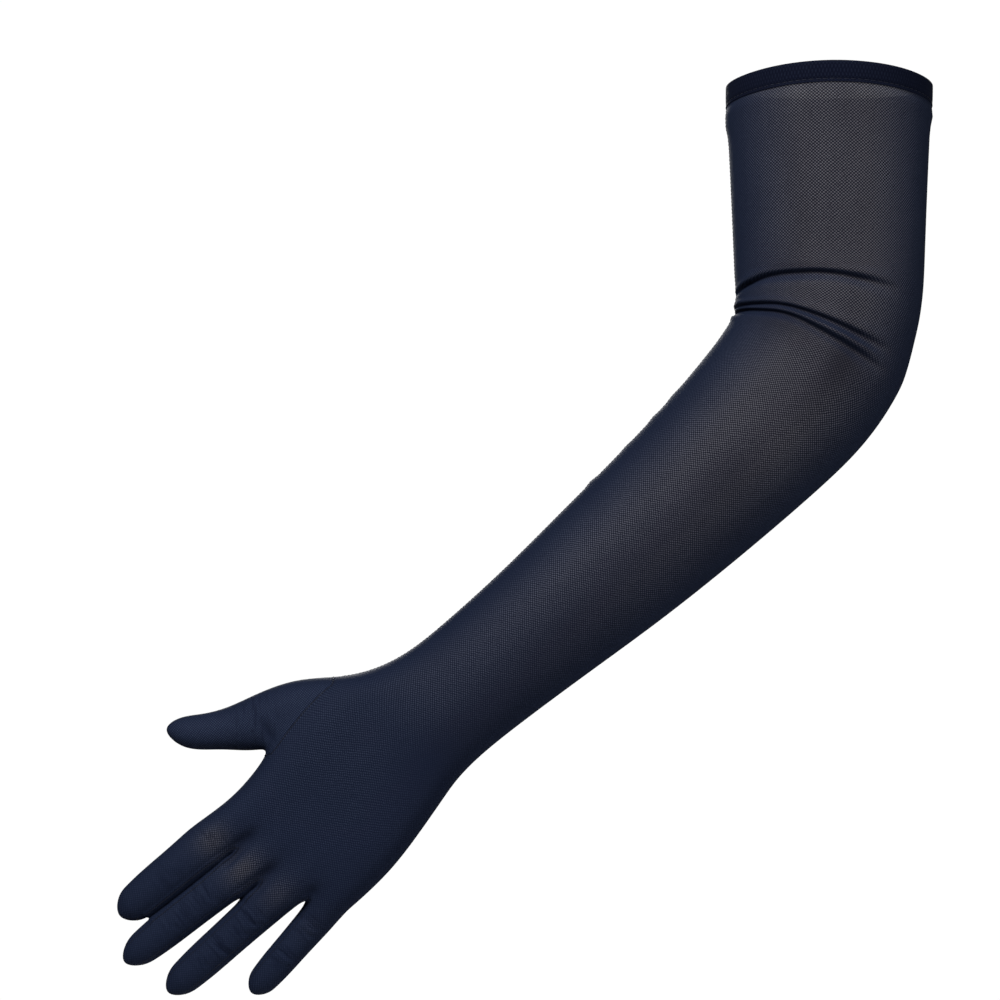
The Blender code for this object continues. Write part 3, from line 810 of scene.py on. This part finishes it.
# %% The mesh material
YARN = (0.0055, 0.0085, 0.0205)
TAUT_YARN = (0.0085, 0.0082, 0.0122)  # stretched thin, it shows less of its blue
HEM_YARN = (0.0030, 0.0040, 0.0105)
SLACK_HOLE_PAINTED_LIGHT = (0.0340, 0.0450, 0.0800)  # painted light in a hole where the cloth is slack
STRETCHED_HOLE_PAINTED_LIGHT = (0.0900, 0.0870, 0.0995)  # and where it is stretched
# Painted shade that the fine creases are darkened towards.
CREASE_SHADE = (0.0030, 0.0045, 0.0120)
INNER_SIDE_MORE = 5.0  # how much more light passes on the inner side of a wall


def mesh_material(name, yarn, least, most):
    """Yarn and holes. The last two are the light a skin lets through in the yarn and a hole."""
    material, tree, shader = new_material(name)
    place = node(tree, "ShaderNodeUVMap", uv_map="stitches").outputs[0]
    spot = node(tree, "ShaderNodeTexCoord").outputs["Object"]
    lattice = lattice_of(tree, place, spot)
    hole = mapped(tree, lattice, -0.15, 0.60, 0.0, 1.0)
    open_share_and_painted_light = open_and_painted_light_of(tree, place, spot)
    passing = mapped(tree, hole, 0.0, 1.0, least, most, False)
    inner = sums(tree, "MULTIPLY_ADD", attribute(tree, "inside"), INNER_SIDE_MORE, 1.0)
    passing = times(tree, passing, inner)
    alpha = sums(tree, "SUBTRACT", 1.0, times(tree, passing, open_share_and_painted_light))
    tree.links.new(alpha, shader.inputs["Alpha"])
    # Painted light: a hole isn't black, since the layers behind send light back, more and greyer
    # when stretched, so each hole is painted a paler colour for that light.
    taut_share = attribute(tree, "taut")
    painted_hole_light = mixed(tree, taut_share, SLACK_HOLE_PAINTED_LIGHT, STRETCHED_HOLE_PAINTED_LIGHT)
    painted_light_speckle = mapped(tree, noise(tree, 2600.0, 2.0, spot), 0.25, 0.75, 0.55, 1.30)
    bright = sums(tree, "MULTIPLY_ADD", open_share_and_painted_light, 1.15, 0.12)
    # Painted shade along the fine creases: there the holes get less of their painted light, and the
    # colour is mixed towards a dark crease shade.
    line = fine_creases(tree, place)
    painted_light_share = times(tree, times(tree, hole, bright), painted_light_speckle)
    painted_light_share = times(tree, painted_light_share, mapped(tree, line, 0.0, 1.0, 1.0, 0.25, False))
    thread = mixed(tree, taut_share, yarn, TAUT_YARN) if most else yarn
    colour = mixed(tree, painted_light_share, thread, painted_hole_light)
    colour = mixed(tree, times(tree, line, 0.6), colour, CREASE_SHADE)
    tree.links.new(colour, shader.inputs["Base Color"])
    rough = mapped(tree, hole, 0.0, 1.0, 0.62, 0.80, False)
    tree.links.new(rough, shader.inputs["Roughness"])
    for socket, value in (
        ("Specular IOR Level", 0.05), ("IOR", 1.25), ("Sheen Weight", 0.012),
        ("Sheen Roughness", 0.45), ("Sheen Tint", (0.42, 0.52, 0.80, 1.0)),
    ):
        shader.inputs[socket].default_value = value
    puckers = noise(tree, 190.0, 3.0, spot)
    height = sums(tree, "MULTIPLY_ADD", puckers, 0.9, times(tree, lattice, -0.10))
    height = sums(tree, "MULTIPLY_ADD", line, -0.8, height)
    raised(tree, shader, height, 0.45, 0.0004)
    return material


TULLE = mesh_material("navy_mesh", YARN, 0.03, 0.11)
HEM_TULLE = mesh_material("navy_mesh_doubled", HEM_YARN, 0.0, 0.0)
print("materials:", TULLE.name, HEM_TULLE.name)


# %% The thread material
def thread_material(name, light, dark):
    """Sewing thread: two plies twisted round each other, a little shinier than the cloth."""
    material, tree, shader = new_material(name)
    spot = node(tree, "ShaderNodeTexCoord").outputs["Object"]
    ply = node(
        tree, "ShaderNodeTexWave", [("Vector", spot), ("Scale", 900.0), ("Distortion", 1.5)],
        wave_type="BANDS", bands_direction="DIAGONAL",
    ).outputs["Fac"]
    # The colour darkens into the grooves between the plies: painted shade, beside the relief that
    # the bump gives them.
    tree.links.new(mixed(tree, ply, dark, light), shader.inputs["Base Color"])
    tree.links.new(mapped(tree, ply, 0, 1, 0.65, 0.45, False), shader.inputs["Roughness"])
    shader.inputs["Specular IOR Level"].default_value = 0.12
    raised(tree, shader, ply, 0.5, 0.0001)
    return material


THREAD = thread_material("navy_thread", (0.0075, 0.0100, 0.0215), (0.0015, 0.0020, 0.0055))
HEM_THREAD = thread_material("navy_hem_thread", (0.0190, 0.0220, 0.0380), (0.0040, 0.0050, 0.0110))

# %% [markdown]
# ## The sewn pieces
#
# Each piece of cloth is a thin wall: the skin outside, a copy 0.4 mm further in, and a narrow
# edge between them. Blender's Solidify modifier could do the same, but the wall is only two sets
# of points, and building them here keeps the stitch counts on both sides in step, so that the
# holes line up. A mark on the inner side lets more light through it, and the outer side alone
# sets the look.


# %% Small helpers for meshes
def open_sides(faces):
    """The sides that belong to one face only, and a mark for them among all sides."""
    sides, _, edge_of = sides_of(faces)
    alone = np.bincount(edge_of)[edge_of] == 1
    return sides[alone], alone


def add_object(name, data):
    made = bpy.data.objects.new(name, data)
    bpy.context.scene.collection.objects.link(made)
    return made


def plain_mesh(name, points, faces, material, places=None):
    mesh = bpy.data.meshes.new(name)
    mesh.from_pydata(points.tolist(), [], faces.tolist())
    mesh.polygons.foreach_set("use_smooth", np.ones(len(faces), bool))
    if places is not None:
        layer = mesh.uv_layers.new(name="stitches")
        layer.data.foreach_set("uv", places.reshape(-1).astype(np.float32))
    mesh.update()
    mesh.materials.append(material)
    return add_object(name, mesh)


# %% Make one wall of cloth
FIELDS = {"openness_and_painted_light": openness_and_painted_light, "taut": taut, "creased": creased}


def cloth_wall(name, outer, inner, faces, places, material):
    """A mesh object with an outer and an inner side, closed along its open edges."""
    used, compact = np.unique(faces, return_inverse=True)
    compact = compact.reshape(-1, 4)
    count = len(used)
    rim_sides, edge = open_sides(compact)
    one, two = rim_sides.T
    rim = np.stack([two, one, one + count, two + count], axis=1)
    rim_places = np.repeat(places.reshape(-1, 1, 2)[edge], 4, axis=1)
    all_faces = np.vstack([compact, compact[:, ::-1] + count, rim])
    all_places = np.vstack([places, places[:, ::-1], rim_places])
    points = np.vstack([outer[used], inner[used]])
    made = plain_mesh(name, points, all_faces, material, all_places)
    fields = {label: np.tile(field[used], 2) for label, field in FIELDS.items()}
    fields["inside"] = np.repeat([0.0, 1.0], count)
    for label, field in fields.items():
        values = made.data.attributes.new(label, "FLOAT", "POINT")
        values.data.foreach_set("value", field.astype(np.float32))
    made.data.validate()
    return made


def area_of(made):
    return sum(p.area for p in made.data.polygons)


# %% Cut and close the pieces
CLOTHS = {}
for number, piece in enumerate(PIECES):
    own = TAGS[:, 0] == number
    CLOTHS[piece] = cloth_wall(
        piece + "_cloth", POINTS[:, :3], POINTS[:, :3] - NORMALS * CLOTH,
        FACES[own], STITCH_PLACES[own], TULLE,
    )
    print(f"{piece}: {area_of(CLOTHS[piece]) / 2 * 1e4:.0f} cm2")

# %% [markdown]
# ## The hem
#
# The top edge is folded double and stitched down, so it is thicker and darker than the mesh below
# it. Its section is a flat loop with a rounded fold at the top, carried round the opening. A groove
# runs just above its lower edge, where the stitches pull the fold tight. A bent strip with a
# thickness would have neither the fold nor the groove.

# %% The section of the hem and its way round
GROOVE_HIGH, GROOVE_DEEP = 0.0014, 0.00035


def hem_profile():
    """Points round the hem's section: how far out, and how high above its lower edge."""
    outside, inside = HEM_STANDS_OUT, HEM_STANDS_OUT - HEM_THICKNESS
    middle, fold = (outside + inside) / 2, HEM_THICKNESS / 2
    heights = (0.0, 0.0003, 0.0008, 0.0012, 0.0014, 0.0017, 0.0021, 0.0030, 0.0045, 0.0060, 0.0075)
    rows = [(outside - GROOVE_DEEP * bell(h - GROOVE_HIGH, 0.0004), h) for h in heights]
    top = HEM_HEIGHT - fold
    for turn in np.radians(np.arange(0, 181, 20)):
        rows.append((middle + fold * math.cos(turn), top + fold * math.sin(turn)))
    rows += [(inside + GROOVE_DEEP * bell(h - GROOVE_HIGH, 0.0004), h) for h in heights[::-1]]
    return np.array(rows)


def hem_ring():
    """The sleeve's top edge in order round the opening, with its outward directions."""
    top = np.flatnonzero(FAR <= HEM_HEIGHT + 1e-6)
    turn = np.arctan2(POINTS[top, 5], POINTS[top, 4])
    top = top[np.argsort(turn)]
    tilt = math.radians(OPENING_TILT * (1 - OPENING_ARCH))
    up = np.array([0.0, -math.sin(tilt), math.cos(tilt)])
    out = NORMALS[top] - np.outer(NORMALS[top] @ up, up)
    return POINTS[top, :3], out / np.linalg.norm(out, axis=1)[:, None], up


def finer_ring(values, finer):
    """The same closed ring with more points, evenly spaced between the old ones."""
    count = len(values)
    at = np.arange(count * finer) / finer
    return read_off(at, range(count + 1), np.vstack([values, values[:1]]))


# %% Build the hem
PUCKERS_ROUND, PUCKER_DEEP, WAVE_HIGH = 96, 0.00012, 0.00018
HEM_ROW = 0.8  # courses from one line of the section to the next
CORNERS = ((0, 0), (1, 0), (1, 1), (0, 1))
ring, out, up = hem_ring()
ring, out = finer_ring(ring, 2), finer_ring(out, 2)
turn = np.linspace(-math.pi, math.pi, len(ring), endpoint=False)
profile = hem_profile()
rows = []
for away, high in profile:
    pucker = PUCKER_DEEP * np.abs(np.cos(PUCKERS_ROUND * turn)) * bell(high - GROOVE_HIGH, 0.0016)
    wave = WAVE_HIGH * (np.sin(3 * turn + 0.6) + np.sin(7 * turn) * 2 / 3)
    rows.append(ring + out * (away - pucker + wave * high / HEM_HEIGHT)[:, None] + up * high)
count, levels = len(ring), len(profile)
hem_points = np.vstack(rows)
level, here = np.meshgrid(range(levels), range(count), indexing="ij")
hem_faces = np.stack([
    (level + up_one) % levels * count + (here + aside) % count for aside, up_one in CORNERS
], -1).reshape(-1, 4)
hem_places = np.stack([
    np.stack([(here + aside) * WALES / count, (level + up_one) * HEM_ROW], -1)
    for aside, up_one in CORNERS
], axis=2).reshape(-1, 4, 2)
HEM = plain_mesh("top_hem_cloth", hem_points, hem_faces, HEM_TULLE, hem_places)
print(f"hem: {len(hem_faces)} faces, {area_of(HEM) * 1e4:.0f} cm2")

# %% [markdown]
# ## Seams
#
# Where two pieces meet, the cloth is overlocked on the inside and shows outside as a narrow ridge
# that the stitches pinch into beads. A curve with a bevel would make a plain cord of it. A tube
# whose radius rises and falls once a stitch reads as sewing, at any distance.


# %% Follow a seam
def seam_loops(number):
    """Closed loops of points where a piece meets the rest of the skin."""
    following = dict(open_sides(FACES[TAGS[:, 0] == number])[0].tolist())
    loops = []
    while following:
        start = here = next(iter(following))
        loop = []
        while here in following:
            loop.append(here)
            here = following.pop(here)
        loops.append(loop)
    return loops


def evenly(points, normals, spacing, closed):
    """The same line with points at an even spacing."""
    if closed:
        points, normals = np.vstack([points, points[:1]]), np.vstack([normals, normals[:1]])
    along = np.append(0, np.cumsum(np.linalg.norm(np.diff(points, axis=0), axis=1)))
    count = max(8, int(round(along[-1] / spacing)))
    at = np.linspace(0, along[-1], count, endpoint=not closed)
    line, facing = read_off(at, along, points), read_off(at, along, normals)
    return line, facing / np.linalg.norm(facing, axis=1)[:, None], at


# %% Make a tube of thread
RIDGE, STITCH, ROUND = 0.00028, 0.0017, 6  # radius, length of a stitch, points round the tube
STRIP_RIDGE = 0.6 * RIDGE
ROUND_TURNS = np.radians(np.arange(ROUND) * 360 / ROUND)


def tube_faces(count, closed=False, first=0):
    """Faces of a tube with this many rings of points, counted from the first point."""
    return [
        (first + i * ROUND + j, first + i * ROUND + (j + 1) % ROUND,
         first + (i + 1) % count * ROUND + (j + 1) % ROUND, first + (i + 1) % count * ROUND + j)
        for i in range(count if closed else count - 1) for j in range(ROUND)
    ]


def ridge(name, points, normals, closed, radius=RIDGE):
    """A beaded ridge along a seam, half sunk into the cloth."""
    line, facing, at = evenly(points, normals, STITCH / 5, closed)
    ahead = np.roll(line, -1, axis=0) - np.roll(line, 1, axis=0)
    if not closed:
        ahead[0], ahead[-1] = line[1] - line[0], line[-1] - line[-2]
    beside = np.cross(ahead, facing)
    beside /= np.linalg.norm(beside, axis=1)[:, None]
    bead = radius * (0.85 + 0.25 * np.cos(2 * math.pi * at / STITCH))
    line = line - facing * radius * 0.35
    wide, high = beside * 1.25 * bead[:, None], facing * bead[:, None]
    rings = [line + wide * math.cos(t) + high * math.sin(t) for t in ROUND_TURNS]
    tube = np.stack(rings, 1).reshape(-1, 3)
    print(f"{name}: {at[-1] * 1000:.0f} mm, {round(at[-1] / STITCH)} stitches")
    return plain_mesh(name, tube, np.array(tube_faces(len(line), closed)), THREAD)


SEAMS = []
for number, piece in enumerate(PIECES[1:], start=1):
    for index, loop in enumerate(seam_loops(number)):
        radius = RIDGE if number == THUMB else STRIP_RIDGE
        SEAMS.append(ridge(f"seam_{piece}_{index}", POINTS[loop, :3], NORMALS[loop], True, radius))

# %% The long seam down the sleeve
on_side = (np.abs(ANGLE) < 0.01) & (ZONE == SLEEVE) & (FAR <= station(THUMB_STEPS[0]))
side_points = np.flatnonzero(on_side)
side_points = side_points[np.argsort(FAR[side_points])]
SEAMS.append(ridge("seam_side", POINTS[side_points, :3], NORMALS[side_points], False))

# %% [markdown]
# ## Stitches of the hem
#
# One line of straight stitches holds the hem down, about eight to the inch. Each stitch is a short
# bar of thread that dips into the cloth at both ends.

# %% Sew the hem
STITCH_LENGTH, STITCH_GAP, THREAD_RADIUS = 0.0022, 0.0009, 0.00017


def hem_stitches():
    base = ring + out * (HEM_STANDS_OUT - GROOVE_DEEP) + up * GROOVE_HIGH
    line, facing, at = evenly(base, out, 0.0002, True)
    length = at[-1] + at[1]
    number = int(length / (STITCH_LENGTH + STITCH_GAP))
    points, faces = [], []
    rise = (-0.3, 0.75, 1.0, 0.75, -0.3)  # height along a stitch, in thread radii
    for stitch in range(number):
        places = stitch * length / number + np.linspace(0, STITCH_LENGTH, len(rise))
        index = np.round(places / at[1]).astype(int) % len(line)
        first = len(points)
        for high, spot in zip(rise, index):
            centre = line[spot] + facing[spot] * THREAD_RADIUS * high
            for t in ROUND_TURNS:
                points.append(centre + facing[spot] * THREAD_RADIUS * math.cos(t)
                              + up * THREAD_RADIUS * math.sin(t))
        faces += tube_faces(len(rise), first=first)
    print(f"hem stitches: {number}")
    return plain_mesh("hem_stitches", np.array(points), np.array(faces), HEM_THREAD)


HEM_STITCHES = hem_stitches()

# %% [markdown]
# ## Which piece stands for which solid
#
# Everything rides on the one body of the model. Each cloth replaces its solid, which stays in the
# simulation only.

# %% Ride and replace
for piece, made in CLOTHS.items():
    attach(made, "root")
    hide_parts(piece)
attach(HEM, "root")
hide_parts("top_hem")
for made in (*SEAMS, HEM_STITCHES):
    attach(made, "root")

# %% [markdown]
# ## Floor, light and camera
#
# The glove hangs in plain white light, as in a catalogue. A pale floor lies below the picture. A
# large soft lamp at the upper left shapes the tubes, a weaker one fills from the right, and a third
# stands behind, so that some light comes through the mesh. The camera looks straight at the back of
# the hand with a long lens.

# %% Pale floor
floor_material, tree, shader = new_material("pale_floor")
grain = noise(tree, 6.0, 3.0)
tree.links.new(mixed(tree, grain, (0.80, 0.80, 0.80), (0.84, 0.84, 0.84)),
               shader.inputs["Base Color"])
shader.inputs["Roughness"].default_value = 0.9
FLOOR_ASIDE, FLOOR_BELOW, FLOOR_RADIUS = 0.15, 0.95, 0.60
rim = np.radians(np.arange(0, 360, 5))
floor_points = np.stack([FLOOR_RADIUS * np.cos(rim) - FLOOR_ASIDE, FLOOR_RADIUS * np.sin(rim),
                         np.full(len(rim), -FLOOR_BELOW)], 1)
floor = plain_mesh("floor", floor_points, np.arange(len(rim))[None], floor_material)
floor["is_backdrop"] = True
print(f"floor: {2 * FLOOR_RADIUS:.1f} m across, {FLOOR_BELOW:.2f} m below the opening")

# %% Surroundings and lamps
ROOM_LIGHT, ROOM_SEEN = 0.13, 1.02  # brightness as a light, and as a backdrop
scene = bpy.context.scene
scene.view_settings.view_transform = "Standard"
world = bpy.data.worlds.new("white_room")
scene.world = world
world.use_nodes = True
wtree = world.node_tree
background = wtree.nodes["Background"]
path = node(wtree, "ShaderNodeLightPath").outputs["Is Camera Ray"]
strength = mapped(wtree, path, 0.0, 1.0, ROOM_LIGHT, ROOM_SEEN, False)
wtree.links.new(strength, background.inputs["Strength"])
background.inputs["Color"].default_value = (1.0, 1.0, 1.0, 1.0)
MIDDLE = (-0.148, 0.0, -0.186)  # the lamps and the camera look here


def soft_lamp(name, place, size, power):
    lamp = bpy.data.lights.new(name, "AREA")
    lamp.shape, lamp.size, lamp.energy = "DISK", size, power
    made = add_object(name, lamp)
    made.location = place
    made.rotation_euler = (Vector(MIDDLE) - Vector(place)).to_track_quat("-Z", "Y").to_euler()
    print(f"{name} lamp: {power:.0f} W, {size:.1f} m across")


soft_lamp("key", (-0.95, -1.32, 1.10), 0.9, 56.0)
soft_lamp("fill", (1.2, -1.6, 0.3), 1.2, 24.0)
soft_lamp("back", (-0.15, 2.2, 0.3), 1.2, 40.0)

# %% Camera
DISTANCE, FRAME_WIDTH, SENSOR = 2.0, 0.450, 36.0
camera_data = bpy.data.cameras.new("camera")
camera_data.sensor_width = SENSOR
camera_data.lens = SENSOR * DISTANCE / FRAME_WIDTH
camera = add_object("camera", camera_data)
camera.location = (MIDDLE[0], -DISTANCE, MIDDLE[2])
camera.rotation_euler = (math.radians(90), 0, 0)
scene.camera = camera
print(f"lens {camera_data.lens:.0f} mm at {DISTANCE} m")

# %% Print the size and finish
visual_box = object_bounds()
for name, low_high in (("cad", CAD_BOX), ("visual", visual_box)):
    print(name, [[round(v * 1000, 1) for v in corner] for corner in low_high])
